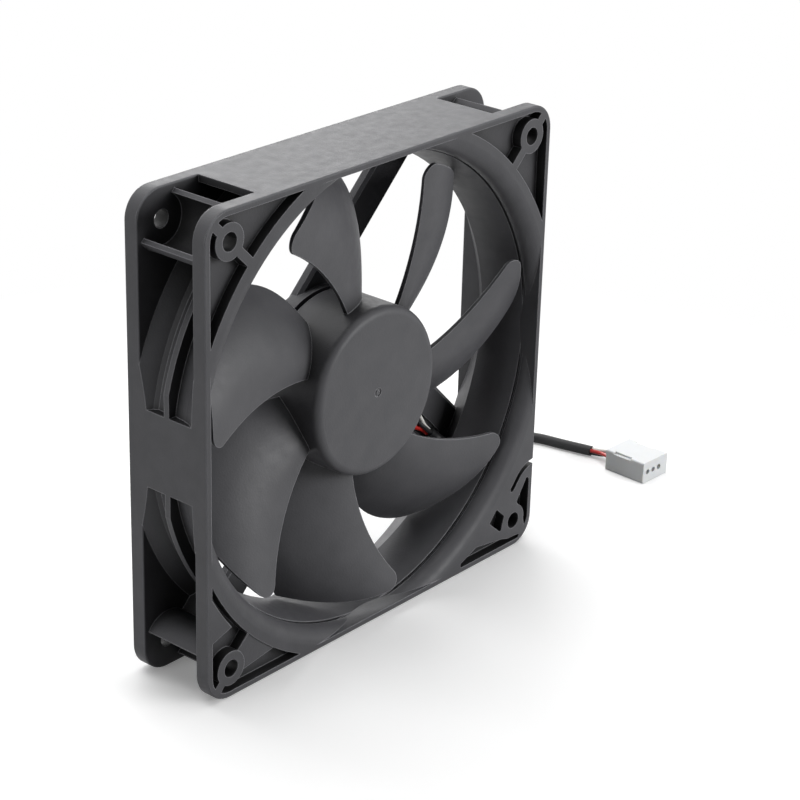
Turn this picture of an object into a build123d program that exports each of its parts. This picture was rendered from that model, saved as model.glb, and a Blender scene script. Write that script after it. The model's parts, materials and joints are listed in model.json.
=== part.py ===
from build123d import *
import math
import os

os.makedirs("parts", exist_ok=True)

# Axial fan, 120 mm square and 25 mm deep, on its bottom edge, air intake facing -Y.
# The fan is drawn face on, its axis along Z and the intake side up, and stood up at the end.
# A depth is measured from the intake face towards the outlet face.

# Frame
SIZE = 120.0
DEPTH = 25.0
CORNER_R = 7.0
FLANGE = 4.0
EDGE_ROUND = 0.4
HOLE_EDGE = 7.5
HOLE_R = 2.2
BOSS_R = 4.4
RIM = 1.5
RING_W = 2.1
POCKET_DEPTH = 2.7
POCKET_ROUND = 0.8
RIB_W = 2.4
MOUTH_STEP = 2.0
MOUTH_ROUND = 4.2
GROOVE = 0.45
GROOVE_W = 0.7
THROAT_EDGE = 3.0
FLARE_SPREAD = 7.0
FLARE_LENGTH = 8.0
BARREL_WALL = 1.8
LEDGE_H = 3.1
LEDGE_W = 1.6
SIDE_PAD = 19.2
TOP_PLATE_END = 19.0
TOP_PLATE_T = 1.8
SHROUD_R = 6.2
SHROUD_T = 1.2
HOOK_GAP = 1.5
WEB_STEP = 0.35
CORNER_ZONE = 31.0

# Rear struts and motor base
STRUT_W = 9.6
STRUT_T = 2.6
STRUT_OFFSET = 14.6
STRUT_ANGLE = 45.0
CABLE_STRUT_W = 15.5
STRUT_EDGE = 0.8
BASE_R = 21.8
BASE_T = 1.6
BASE_RIM_T = 1.5
BASE_RIM_H = 4.4
SOCKET_T = 1.8

# Impeller
HUB_R = 21.3
HUB_FRONT = 2.4
HUB_WALL = 1.4
HUB_FACE_T = 1.7
HUB_GAP = 0.8
HUB_ROUND = 2.0
GATE_MARK_R = 1.1
GATE_MARK_DEEP = 0.25
BLADE_COUNT = 7
TIP_CLEARANCE = 0.8
BLADE_ROOT_T = 2.2
BLADE_TIP_T = 1.3
BLADE_SLICES = 7
# Leading and trailing edge of one blade at the root, half way and at the tip: angle and depth
LEAD_ANGLE = (209.5, 219.7, 230.0)
LEAD_DEPTH = (7.8, 5.6, 2.0)
TRAIL_ANGLE = (176.0, 181.5, 198.0)
TRAIL_DEPTH = (15.2, 17.6, 17.0)
BLADE_CAMBER = 0.10
BLADE_SLICE_ANGLE = 205.0
TIP_CORNER_R = 3.0

# Rotor inner pieces
YOKE_T = 1.0
MAGNET_T = 1.9
MAGNET_SHORTER = 3.7
SHAFT_R = 1.5
SHAFT_CLEAR = 0.5
CLIP_GROOVE = 0.35
BUSH_R = 2.8
BUSH_SET = 0.3
SPRING_SPACE = 2.2
HUB_BOSS_R = 4.2

# Ball bearings, 3 x 8 x 4
BEARING_OUT_R = 4.0
BEARING_WIDTH = 4.0
BALL_R = 0.75
BALL_PITCH_R = 2.75
BALL_COUNT = 7
BALL_GAP = 0.05
INNER_RACE_R = 2.2
OUTER_RACE_R = 3.3
CAGE_T = 0.5
CAGE_W = 2.4
BEARING_SPAN = 8.0
BEARING_RECESS = 6.0
TUBE_WALL = 1.2
TUBE_LIP = 0.4
TUBE_STOP = 0.7
CAP_LIP = 0.8
SPRING_WIRE = 0.35
SPRING_TURNS = 3
WASHER_T = 0.3
CLIP_T = 0.4

# Stator and circuit board
AIR_GAP = 0.45
COIL_FRONT_GAP = 2.22
COIL_REAR_GAP = 1.12
POLE_COUNT = 4
POLE_NECK_W = 5.0
POLE_SHOE_T = 1.5
POLE_SLOT = 2.6
INSULATOR_T = 1.0
COIL_T = 2.6
COIL_OVER = 2.08
BOARD_T = 1.2
BOARD_CLEAR = 0.4
PIN_SIZE = 0.6

# Lead and connector
WIRE_R = 0.55
WIRE_SPACING = 1.85
SLEEVE_R = 1.45
CHANNEL_DEEP = 0.5
CHANNEL_CLEAR = 0.15
LEAD_OFFSET = 8.5
SLEEVE_INSIDE = 5.4
SLEEVE_OUTSIDE = 3.6
SLEEVE_RUN = 2.2
SLEEVE_RISE = 0.25
PITCH = 2.54
PLUG_WAYS = 3
PLUG_W = 10.8
PLUG_LENGTH = 13.2
PLUG_H = 6.2
PLUG_ROUND = 0.5
KEY_W = 1.0
KEY_LENGTH = 6.0
KEY_DEEP = 0.6
PIN_HOLE_R = 0.75
PIN_HOLE_DEEP = 2.4
HOLE_SHIFT = -0.8
CAVITY = 2.2
TERMINAL = 2.0
TERMINAL_WALL = 0.3
TERMINAL_LENGTH = 7.5
TERMINAL_IN = 2.0
PLUG_AT = (112.5, -9.4)
PLUG_TURN = -2.0

# Worked out from the sizes above
HALF = SIZE / 2
FRONT = DEPTH / 2
REAR = -DEPTH / 2
THROAT_R = HALF - THROAT_EDGE
THROAT_END = DEPTH - FLARE_LENGTH
FLARE_R = THROAT_R + FLARE_SPREAD
MOUTH_R = THROAT_R + MOUTH_STEP
RING_R = MOUTH_R + MOUTH_ROUND + RING_W
LEDGE_R = THROAT_R + BARREL_WALL + LEDGE_H
TOP_PLATE = SIZE - 2 * TOP_PLATE_END
TIP_R = THROAT_R - TIP_CLEARANCE
HOLE_AT = HALF - HOLE_EDGE
YOKE_R = HUB_R - HUB_WALL
MAGNET_R = YOKE_R - YOKE_T
STATOR_R = MAGNET_R - MAGNET_T - AIR_GAP
TUBE_R = BEARING_OUT_R + TUBE_WALL
TUBE_END = DEPTH - BASE_T
HUB_INSIDE = HUB_FRONT + HUB_FACE_T
YOKE_END = HUB_INSIDE + YOKE_T
BOARD_DEPTH = DEPTH - BASE_RIM_H
HUB_REAR = BOARD_DEPTH - HUB_GAP
HUB_LENGTH = HUB_REAR - HUB_FRONT
MAGNET_LENGTH = HUB_REAR - YOKE_END - MAGNET_SHORTER
BEARING_REAR = TUBE_END - BEARING_RECESS
BEARING_FRONT = BEARING_REAR - BEARING_SPAN
TUBE_FRONT = BEARING_FRONT - TUBE_LIP
SHAFT_END = TUBE_END - SHAFT_CLEAR
BUSH_END = BEARING_FRONT - SPRING_SPACE
BUSH_LENGTH = BUSH_END - HUB_INSIDE + BUSH_SET
STATOR_FRONT = YOKE_END + COIL_FRONT_GAP + COIL_OVER + INSULATOR_T
STATOR_LENGTH = BOARD_DEPTH - COIL_REAR_GAP - COIL_OVER - INSULATOR_T - STATOR_FRONT
BASE_INNER_R = BASE_R - BASE_RIM_T
SLEEVE_INNER_END = THROAT_R - SLEEVE_INSIDE
SLEEVE_EXIT = THROAT_R + SLEEVE_OUTSIDE


def at(depth):
    """Height in the face-on drawing of a plane at this depth from the intake face."""
    return FRONT - depth


def stand(shape):
    """Turn a piece drawn face on so that the fan stands on its bottom edge."""
    return Pos(0, 0, HALF) * Rot(90, 0, 0) * shape


def ring(outer, inner, start, length):
    """A plain ring about the fan's axis from one depth, going deeper."""
    disc = Circle(outer) - Circle(inner) if inner else Circle(outer)
    return extrude(Pos(0, 0, at(start + length)) * disc, length)


def turned(*points):
    """A solid of revolution about the fan's axis, from (radius, depth) corners."""
    corners = [(radius, at(depth)) for radius, depth in points]
    return revolve(Plane.XZ * make_face(Polyline(*corners, close=True)), Axis.Z)


def corner_points(half):
    return [(sx * half, sy * half) for sx, sy in ((-1, 1), (1, 1), (1, -1), (-1, -1))]


def air_passage():
    """Bell mouth, groove, throat and outlet flare, cut through the frame."""
    over = 1.0
    mouth_top = MOUTH_R + MOUTH_ROUND
    lip = at(MOUTH_ROUND)
    groove_end = at(MOUTH_ROUND + GROOVE_W)
    waist_r = THROAT_R + 0.5
    waist = at(MOUTH_ROUND + GROOVE_W + 4.5)
    flare_over = (FLARE_R - THROAT_R) * over / (DEPTH - THROAT_END)
    line = Polyline((0, FRONT + over), (mouth_top, FRONT + over), (mouth_top, FRONT))
    line += CenterArc((mouth_top, lip), MOUTH_ROUND, 90, 90)
    line += Polyline((MOUTH_R, lip), (MOUTH_R + GROOVE, lip), (MOUTH_R + GROOVE, groove_end))
    line += Line((MOUTH_R + GROOVE, groove_end), (MOUTH_R - 0.3, groove_end))
    line += ThreePointArc((MOUTH_R - 0.3, groove_end), (waist_r, waist), (THROAT_R, at(THROAT_END)))
    line += Line((THROAT_R, at(THROAT_END)), (FLARE_R + flare_over, REAR - over))
    line += Polyline((FLARE_R + flare_over, REAR - over), (0, REAR - over), (0, FRONT + over))
    return revolve(Plane.XZ * make_face(line), Axis.Z)


def barrel():
    """The round wall between the flanges, with its ledge half way."""
    neck = THROAT_R + BARREL_WALL
    ledge_1 = (DEPTH - LEDGE_W) / 2
    ledge_2 = (DEPTH + LEDGE_W) / 2
    wall_end = THROAT_END
    return turned(
        (THROAT_R - 3, 1), (LEDGE_R + 1.6, 1), (LEDGE_R + 1.6, FLANGE), (HALF + 0.8, FLANGE + 0.7),
        (HALF - 0.1, FLANGE + 2), (neck + 0.5, FLANGE + 4), (neck, ledge_1), (LEDGE_R, ledge_1),
        (LEDGE_R, ledge_2), (neck, ledge_2), (neck, wall_end), (neck + 0.7, wall_end + 1),
        (neck + 2.2, wall_end + 2.2), (neck + 4.4, DEPTH - FLANGE), (neck + 4.4, DEPTH - 1),
        (THROAT_R - 3, DEPTH - 1))


def pockets():
    """Plan of the four shallow recesses of a flange, one each side of each screw boss."""
    plan = RectangleRounded(SIZE - 2 * RIM, SIZE - 2 * RIM, CORNER_R - RIM) - Circle(RING_R)
    for x, y in corner_points(HOLE_AT):
        plan -= Pos(x, y) * Circle(BOSS_R)
        plan -= Pos(x, y) * Rot(0, 0, math.degrees(math.atan2(y, x))) * Rectangle(2 * CORNER_R + 8, RIB_W)
    return plan


def front_pockets():
    """The recesses of the intake flange, whose lower corners differ: web and slot left, cable hook right."""
    plan = pockets()
    outside = Circle(RING_R + HOOK_GAP)
    plate = make_face(Polyline((0, 31), (11, 19.4), (0, 15.8), close=True))
    plan -= Pos(-HALF, -HALF) * plate - outside
    plan -= lower_web()
    corner = Pos(HALF, -HALF)
    plan -= corner * Rectangle(2 * CORNER_ZONE, 2 * CORNER_ZONE)
    by_hook = [(-6.4, 12.4), (-2.4, 18.6), (-RIM, 17.6), (-RIM, 6.4), (-2.6, 3.6), (-3.6, 9.4)]
    by_ring = [(-14.7, 13.2), (-11.4, 10.2), (-12.6, 5.8), (-17.4, 10.0)]
    by_edge = [(-28.8, 2.7), (-22.6, 5.1), (-13.0, 3.8), (-9.2, 2.8), (-4.4, 2.6), (-5.0, RIM), (-28.8, RIM)]
    boss = Pos(HOLE_AT, -HOLE_AT) * Circle(BOSS_R)
    for outline in (by_hook, by_ring, by_edge):
        pocket = corner * make_face(Polyline(*outline, close=True))
        plan += fillet(pocket.vertices(), POCKET_ROUND / 2) - boss - Circle(RING_R)
    return plan


def lower_web():
    """Plan of the wide web from the lower left screw boss to the ring."""
    outline = [(15.0, 15.6), (9.6, 11.2), (HOLE_EDGE, HOLE_EDGE), (11.2, 5.2), (24.2, 7.2)]
    return Pos(-HALF, -HALF) * make_face(Polyline(*outline, close=True)) - Circle(RING_R)


def cable_hook():
    """Slot that the lead can be hooked into, open at the frame's right edge."""
    closed_end = (-8.4, 16.8)
    bend = (-5.6, 20.1)
    path = Polyline(closed_end, bend) + ThreePointArc(bend, (-3.2, 21.6), (2, 22.1))
    slot = trace(path, line_width=HOOK_GAP)
    slot += Pos(*closed_end) * Circle(HOOK_GAP / 2)
    return extrude(Pos(HALF, -HALF, at(FLANGE + 0.5)) * slot, FLANGE + 1)


def screw_shrouds():
    """A part-round wall about each screw hole between the flanges, open to the corner."""
    length = DEPTH - 2 * FLANGE + 1
    walls = Part()
    for x, y in corner_points(HOLE_AT):
        outward = math.degrees(math.atan2(y, x))
        bow = Circle(SHROUD_R + SHROUD_T) - Circle(SHROUD_R)
        bow -= Pos(CORNER_R + 1.5, 0) * Rectangle(2 * CORNER_R, 4 * CORNER_R)
        web = Pos(-SHROUD_R - 3.5, 0) * Rectangle(7, SHROUD_T)
        walls += Pos(x, y, -length / 2) * Rot(0, 0, outward) * extrude(bow + web, length)
    return walls


def struts():
    """Four flat struts, set off from the axis like a swirl; the one at the right carries the lead."""
    reach = HALF + 6
    arms = Part()
    for turn in range(4):
        width = CABLE_STRUT_W if turn == 3 else STRUT_W
        inner_edge = STRUT_OFFSET + STRUT_W / 2 - width
        bar = Box(reach, width, STRUT_T, align=(Align.MIN, Align.MIN, Align.MIN))
        bar = chamfer(bar.edges().filter_by(Axis.X).group_by(Axis.Z)[-1], STRUT_EDGE)
        arms += Rot(0, 0, STRUT_ANGLE + 90 * turn) * Pos(0, inner_edge, REAR) * bar
    front = DEPTH - STRUT_T - 1
    flare = (FLARE_R - THROAT_R) / (DEPTH - THROAT_END)
    reach_r = FLARE_R - flare * (STRUT_T + 1) + BARREL_WALL / 2
    edge = turned((0, front), (reach_r, front), (FLARE_R + BARREL_WALL / 2, DEPTH), (0, DEPTH))
    return (arms & edge) - ring(BASE_INNER_R, 0, front, DEPTH - BASE_T - front)


def motor_base():
    """Shallow cup that carries the motor, with the socket of the bearing tube."""
    cup = ring(BASE_R, 0, DEPTH - BASE_T, BASE_T)
    cup += ring(BASE_R, BASE_INNER_R, DEPTH - BASE_RIM_H, BASE_RIM_H)
    cup += ring(TUBE_R + SOCKET_T, 0, DEPTH - BASE_RIM_H + 1, BASE_RIM_H - 1)
    cup = fillet(cup.edges().filter_by(GeomType.CIRCLE).group_by(Axis.Z)[0].sort_by(SortBy.LENGTH)[-1], 0.6)
    return cup


def frame():
    """Moulded frame: two flanges, barrel, side pads, shrouds, struts and motor base."""
    plate = RectangleRounded(SIZE, SIZE, CORNER_R)
    block = extrude(Pos(0, 0, REAR) * plate, DEPTH)
    body = Part()
    for start in (0, DEPTH - FLANGE):
        flange = extrude(Pos(0, 0, at(start + FLANGE)) * plate, FLANGE)
        body += fillet(flange.edges().group_by(Axis.Z)[0] + flange.edges().group_by(Axis.Z)[-1], EDGE_ROUND)
    body += barrel() & block
    gap = DEPTH - 2 * FLANGE + 1
    for side in (-1, 1):
        body += Pos(side * (HALF - 1.5), 0, 0) * Box(3, SIDE_PAD, gap)
        body += Pos(0, side * (HALF - TOP_PLATE_T / 2), 0) * Box(TOP_PLATE, TOP_PLATE_T, gap)
    body += screw_shrouds()
    bore = air_passage() & extrude(Pos(0, 0, REAR - 2) * Rectangle(SIZE - 2 * RIM, SIZE - 2 * RIM), DEPTH + 4)
    body -= bore
    body -= extrude(Pos(0, 0, at(POCKET_DEPTH)) * front_pockets(), POCKET_DEPTH)
    body -= extrude(Pos(0, 0, REAR) * pockets(), POCKET_DEPTH)
    web = lower_web() - Pos(-HOLE_AT, -HOLE_AT) * Circle(BOSS_R)
    body -= extrude(Pos(0, 0, at(WEB_STEP)) * web, WEB_STEP)
    body -= cable_hook()
    for x, y in corner_points(HOLE_AT):
        body -= Pos(x, y) * Cylinder(HOLE_R, DEPTH + 2)
    body += struts() + motor_base()
    return body


def through(values, share):
    """Value at a share of the way from root to tip, on a parabola through three given values."""
    root, half, tip = values
    return root + (4 * half - 3 * root - tip) * share + (2 * root + 2 * tip - 4 * half) * share ** 2


def blade_point(distance, chord):
    """Slide along the blade, from leading edge (0) to trailing edge (1), within one flat slice."""
    turn = 0.0
    for _ in range(6):
        radius = distance / math.cos(math.radians(turn))
        span = (radius - HUB_R) / (TIP_R - HUB_R)
        lead, trail = through(LEAD_ANGLE, span), through(TRAIL_ANGLE, span)
        turn = lead + (trail - lead) * chord - BLADE_SLICE_ANGLE
    front, back = through(LEAD_DEPTH, span), through(TRAIL_DEPTH, span)
    width = math.hypot(math.radians(lead - trail) * radius, back - front)
    bow = BLADE_CAMBER * width * 4 * chord * (1 - chord)
    half = (BLADE_ROOT_T + (BLADE_TIP_T - BLADE_ROOT_T) * span) / 2
    half *= 0.55 + 0.45 * math.sin(math.pi * chord) ** 0.7 if 0 < chord < 1 else 0.55
    return distance * math.tan(math.radians(turn)), at(front + (back - front) * chord - bow), half


def blade_slice(distance):
    """Cross-section of a blade in a plane at this distance from the axis."""
    shares = [0, 0.2, 0.4, 0.6, 0.8, 1]
    near, far = [], []
    for share in shares:
        x0, y0, half = blade_point(distance, share)
        x1, y1, _ = blade_point(distance, share + 0.01)
        along = Vector(x1 - x0, y1 - y0).normalized()
        near.append((x0 - along.Y * half, y0 + along.X * half))
        far.append((x0 + along.Y * half, y0 - along.X * half))
    outline = Spline(*near) + Line(near[-1], far[-1]) + Spline(*reversed(far)) + Line(far[0], near[0])
    angle = math.radians(BLADE_SLICE_ANGLE)
    outward = (math.cos(angle), math.sin(angle), 0)
    place = Plane(Vector(*outward) * distance, x_dir=(-math.sin(angle), math.cos(angle), 0), z_dir=outward)
    return place * make_face(outline)


def lead_angle(radius):
    return math.radians(through(LEAD_ANGLE, (radius - HUB_R) / (TIP_R - HUB_R)))


def tip_waste():
    """What is cut away, seen face on, to round the leading corner of a blade's tip."""
    reach = 2 * TIP_CORNER_R
    middle_r = TIP_R - TIP_CORNER_R
    lean = math.atan(middle_r * (lead_angle(middle_r + 0.1) - lead_angle(middle_r - 0.1)) / 0.2)
    turn = lead_angle(middle_r) - TIP_CORNER_R / math.cos(lean) / middle_r
    outward = Vector(math.cos(turn), math.sin(turn))
    forward = Vector(-math.sin(turn), math.cos(turn))
    along = outward * math.cos(lean) + forward * math.sin(lean)
    across = forward * math.cos(lean) - outward * math.sin(lean)
    middle = outward * middle_r
    beside = middle + across * reach
    corners = [middle, beside, beside + along * 2.5 * reach, middle + outward * reach]
    waste = make_face(Polyline(*corners, close=True)) - Pos(middle) * Circle(TIP_CORNER_R)
    return extrude(Pos(0, 0, REAR) * waste, DEPTH)


def blade():
    """One swept blade, lofted through flat slices and trimmed round at the tip."""
    first, last = HUB_R - 4.5, TIP_R + 1.0
    step = (last - first) / (BLADE_SLICES - 1)
    body = loft([blade_slice(first + step * number) for number in range(BLADE_SLICES)])
    return (body & (Cylinder(TIP_R, 3 * DEPTH) - Cylinder(HUB_R - HUB_WALL / 2, 3 * DEPTH))) - tip_waste()


def impeller():
    """Hub cup with a rounded front edge, its inner boss and the ring of blades."""
    cup = ring(HUB_R, 0, HUB_FRONT, HUB_LENGTH)
    cup = fillet(cup.edges().filter_by(GeomType.CIRCLE).group_by(Axis.Z)[-1], HUB_ROUND)
    cup -= ring(YOKE_R, 0, HUB_INSIDE, HUB_LENGTH)
    cup += ring(HUB_BOSS_R, 0, HUB_INSIDE, BUSH_END - HUB_INSIDE)
    cup -= ring(BUSH_R, 0, BUSH_END - BUSH_LENGTH, BUSH_LENGTH)
    mark = ring(GATE_MARK_R, GATE_MARK_R / 2, HUB_FRONT, GATE_MARK_DEEP)
    cup -= mark
    one = blade()
    for number in range(BLADE_COUNT):
        cup += Rot(0, 0, 360 / BLADE_COUNT * number) * one
    return cup


def bearing(start):
    """Outer race, inner race, balls and cage of one deep-groove ball bearing."""
    middle = start + BEARING_WIDTH / 2
    track = Pos(0, 0, at(middle)) * Torus(BALL_PITCH_R, BALL_R + BALL_GAP)
    outer = ring(BEARING_OUT_R, OUTER_RACE_R, start, BEARING_WIDTH) - track
    inner = ring(INNER_RACE_R, SHAFT_R, start, BEARING_WIDTH) - track
    cage = ring(BALL_PITCH_R + CAGE_T / 2, BALL_PITCH_R - CAGE_T / 2, middle - CAGE_W / 2, CAGE_W)
    balls = []
    for number in range(BALL_COUNT):
        spot = Rot(0, 0, 360 / BALL_COUNT * (number + 0.5)) * Pos(BALL_PITCH_R, 0, at(middle))
        cage -= spot * Rot(0, 90, 0) * Cylinder(BALL_R + BALL_GAP, 3 * CAGE_T)
        balls.append(spot * Sphere(BALL_R))
    return outer, inner, Compound(children=balls), cage


def bearing_tube():
    """Brass tube of the motor, with a stop between its two bearing seats."""
    tube = ring(TUBE_R, BEARING_OUT_R - TUBE_STOP, TUBE_FRONT, TUBE_END - TUBE_FRONT)
    stop = BEARING_FRONT + BEARING_WIDTH
    tube -= ring(BEARING_OUT_R, 0, TUBE_FRONT, stop - TUBE_FRONT)
    tube -= ring(BEARING_OUT_R, 0, BEARING_REAR, TUBE_END - BEARING_REAR)
    return tube


def shaft():
    """Steel shaft with the groove of its retaining clip."""
    start = BUSH_END - BUSH_LENGTH
    pin = ring(SHAFT_R, 0, start, SHAFT_END - start)
    pin = chamfer(pin.edges().filter_by(GeomType.CIRCLE), 0.2)
    groove = BEARING_REAR + BEARING_WIDTH + WASHER_T
    return pin - ring(SHAFT_R + 1, SHAFT_R - CLIP_GROOVE, groove, CLIP_T)


def retaining_clip():
    groove = BEARING_REAR + BEARING_WIDTH + WASHER_T
    clip = ring(SHAFT_R + 1.1, SHAFT_R - CLIP_GROOVE, groove, CLIP_T)
    return clip - Pos(3, 0, at(groove)) * Box(6, 1.6, 4 * CLIP_T)


def preload_spring():
    """Coil spring round the shaft, between the hub's bush and the front bearing."""
    length = BEARING_FRONT - BUSH_END - SPRING_WIRE
    radius = SHAFT_R + 0.15 + SPRING_WIRE
    path = Helix(length / SPRING_TURNS, length, radius)
    start = Plane(path @ 0, z_dir=path % 0)
    coil = sweep(start * Circle(SPRING_WIRE / 2), path=path)
    return Pos(0, 0, at(BEARING_FRONT) + SPRING_WIRE / 2) * coil


def pole_plan(outer, shoe, neck, inner):
    """Plan of a lamination: a ring, its pole necks and the curved shoes."""
    plan = Circle(TUBE_R + 2.4)
    shoes = Circle(outer) - Circle(shoe)
    for number in range(POLE_COUNT):
        turn = Rot(0, 0, 360 / POLE_COUNT * number)
        plan += turn * Pos((outer + inner) / 2 - 0.5, 0) * Rectangle(outer - inner - 1, neck)
        shoes -= turn * Rot(0, 0, 180 / POLE_COUNT) * Pos(outer, 0) * Rectangle(outer, POLE_SLOT)
    return plan + shoes - Circle(inner)


def stator():
    """Laminated core, its two insulators with posts and side walls, the coils and the pins."""
    shoe = STATOR_R - POLE_SHOE_T
    end = STATOR_FRONT + STATOR_LENGTH
    core = extrude(Pos(0, 0, at(end)) * pole_plan(STATOR_R, shoe, POLE_NECK_W, TUBE_R), STATOR_LENGTH)
    plan = pole_plan(STATOR_R - 0.4, shoe, POLE_NECK_W, TUBE_R)
    front = extrude(Pos(0, 0, at(STATOR_FRONT)) * plan, INSULATOR_T)
    rear = extrude(Pos(0, 0, at(end + INSULATOR_T)) * plan, INSULATOR_T)
    post_r = TUBE_R + 3.4
    pins = []
    for number in range(POLE_COUNT):
        spot = Rot(0, 0, 360 / POLE_COUNT * (number + 0.5)) * Pos(post_r, 0)
        rear += spot * Pos(0, 0, at(BOARD_DEPTH)) * extrude(Circle(1.2), BOARD_DEPTH - end)
        pin = spot * Pos(0, 0, at(BOARD_DEPTH + BOARD_T + 0.4)) * extrude(Rectangle(PIN_SIZE, PIN_SIZE), 4)
        rear -= pin
        pins.append(pin)
    coils = []
    window = Rectangle(POLE_NECK_W, STATOR_LENGTH + 2 * INSULATOR_T)
    wound = RectangleRounded(POLE_NECK_W + 1.6 * COIL_T, STATOR_LENGTH + 2 * (INSULATOR_T + COIL_OVER), 1.6)
    across = Plane((shoe - 1.2, 0, at(STATOR_FRONT + STATOR_LENGTH / 2)), x_dir=(0, 1, 0), z_dir=(1, 0, 0))
    winding = extrude(across * (wound - window), -(shoe - 1.2 - TUBE_R - 3.0))
    for number in range(POLE_COUNT):
        coils.append(Rot(0, 0, 360 / POLE_COUNT * number) * winding)
    return core, front, rear, coils, pins


def circuit_board(pins):
    board = ring(BASE_INNER_R - BOARD_CLEAR, TUBE_R + SOCKET_T + BOARD_CLEAR, BOARD_DEPTH, BOARD_T)
    for pin in pins:
        board -= pin
    return board


def on_strut(distance, offset, depth):
    """A place on the strut that carries the lead, from its distance out along the strut."""
    angle = math.radians(STRUT_ANGLE + 270)
    return (distance * math.cos(angle) - offset * math.sin(angle),
            distance * math.sin(angle) + offset * math.cos(angle), at(depth))


def strut_box(start, end, width, top, bottom):
    """A block along the lead's strut, centred on the wires, between two depths."""
    block = Box(end - start, width, bottom - top, align=(Align.MIN, Align.CENTER, Align.MIN))
    return Rot(0, 0, STRUT_ANGLE + 270) * Pos(start, LEAD_OFFSET, at(bottom)) * block


def bent(points, radius):
    """A round rod along straight runs joined by arcs as large as the runs allow."""
    corners = [Vector(*point) for point in points]
    radii = []
    for before, here, after in zip(corners, corners[1:], corners[2:]):
        turn = (here - before).get_angle(after - here)
        shorter = min((here - before).length, (after - here).length)
        radii.append(0.45 * shorter / math.tan(math.radians(turn / 2)))
    path = FilletPolyline(*corners, radius=radii)
    rod = sweep(Plane(path @ 0, z_dir=path % 0) * Circle(radius), path=path)
    print("arc radii", [round(value, 1) for value in radii], "length", round(path.length, 1),
          "volume share", round(rod.volume / (math.pi * radius ** 2 * path.length), 3))
    return rod


# The frame, opened for the lead: a notch in the base rim, a channel, a hole in the barrel wall
channel_w = (PLUG_WAYS - 1) * WIRE_SPACING + 2 * WIRE_R + 2 * CHANNEL_CLEAR
channel_floor = DEPTH - STRUT_T + CHANNEL_DEEP
wire_depth = channel_floor - WIRE_R
sleeve_depth = DEPTH - FLANGE - SLEEVE_R - 0.25
lead_hole_top = sleeve_depth - SLEEVE_R - 0.25
shell = frame()
shell -= ring(TUBE_R, 0, DEPTH - BASE_RIM_H, BASE_RIM_H - BASE_T)
shell -= ring(BEARING_OUT_R + CAP_LIP, 0, DEPTH - BASE_T, BASE_T)
shell -= strut_box(BASE_INNER_R - 5, THROAT_R, channel_w, BOARD_DEPTH - 1, channel_floor)
shell -= strut_box(THROAT_R - 2, FLARE_R, 2 * SLEEVE_R + 0.6, lead_hole_top, DEPTH - FLANGE)
print("frame", shell.is_valid, len(shell.solids()), round(shell.volume))
export_step(stand(shell), "parts/frame.step")

fan = impeller()
print("impeller", fan.is_valid, len(fan.solids()), round(fan.volume))
export_step(stand(fan), "parts/impeller.step")

yoke = ring(YOKE_R, YOKE_R - YOKE_T, HUB_INSIDE, HUB_REAR - HUB_INSIDE - 0.4)
yoke += ring(YOKE_R, HUB_BOSS_R + 1, HUB_INSIDE, YOKE_T)
export_step(stand(yoke), "parts/rotor_yoke.step")
magnet_start = STATOR_FRONT + STATOR_LENGTH / 2 - MAGNET_LENGTH / 2
magnet = ring(MAGNET_R, MAGNET_R - MAGNET_T, magnet_start, MAGNET_LENGTH)
export_step(stand(magnet), "parts/ring_magnet.step")
export_step(stand(shaft()), "parts/shaft.step")
bush = ring(BUSH_R, SHAFT_R, BUSH_END - BUSH_LENGTH, BUSH_LENGTH)
export_step(stand(bush), "parts/shaft_bush.step")
export_step(stand(preload_spring()), "parts/preload_spring.step")
washer = ring(SHAFT_R + 0.7, SHAFT_R, BEARING_REAR + BEARING_WIDTH, WASHER_T)
export_step(stand(washer), "parts/thrust_washer.step")
export_step(stand(retaining_clip()), "parts/retaining_clip.step")

for name, start in (("front", BEARING_FRONT), ("rear", BEARING_REAR)):
    outer_race, inner_race, balls, cage = bearing(start)
    export_step(stand(outer_race), f"parts/{name}_bearing_outer_race.step")
    export_step(stand(inner_race), f"parts/{name}_bearing_inner_race.step")
    export_step(stand(balls), f"parts/{name}_bearing_balls.step")
    export_step(stand(cage), f"parts/{name}_bearing_cage.step")
export_step(stand(bearing_tube()), "parts/bearing_tube.step")
cap = ring(BEARING_OUT_R + CAP_LIP, 0, TUBE_END, BASE_T)
export_step(stand(cap), "parts/rear_cap.step")

core, front_insulator, rear_insulator, coils, pins = stator()
export_step(stand(core), "parts/stator_core.step")
export_step(stand(front_insulator), "parts/front_insulator.step")
export_step(stand(rear_insulator), "parts/rear_insulator.step")
for number, coil in enumerate(coils, 1):
    export_step(stand(coil), f"parts/coil_{number}.step")
export_step(stand(Compound(children=pins)), "parts/winding_pins.step")
export_step(stand(circuit_board(pins)), "parts/circuit_board.step")

board_rear = BOARD_DEPTH + BOARD_T
sensor = Box(3, 2.6, 0.8, align=(Align.CENTER, Align.CENTER, Align.MIN))
export_step(stand(Pos(0, MAGNET_R - 2, at(BOARD_DEPTH)) * sensor), "parts/hall_sensor.step")
chip = Box(5, 4, 1.4, align=(Align.CENTER, Align.CENTER, Align.MAX))
export_step(stand(Pos(-13, 0, at(board_rear)) * chip), "parts/driver_chip.step")
capacitor = Box(3.2, 2.5, 1.4, align=(Align.CENTER, Align.CENTER, Align.MAX))
export_step(stand(Pos(-3, -14, at(board_rear)) * capacitor), "parts/capacitor.step")
diode = Box(2.6, 1.6, 1.0, align=(Align.CENTER, Align.CENTER, Align.MAX))
export_step(stand(Pos(-9, 11, at(board_rear)) * diode), "parts/diode.step")

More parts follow.
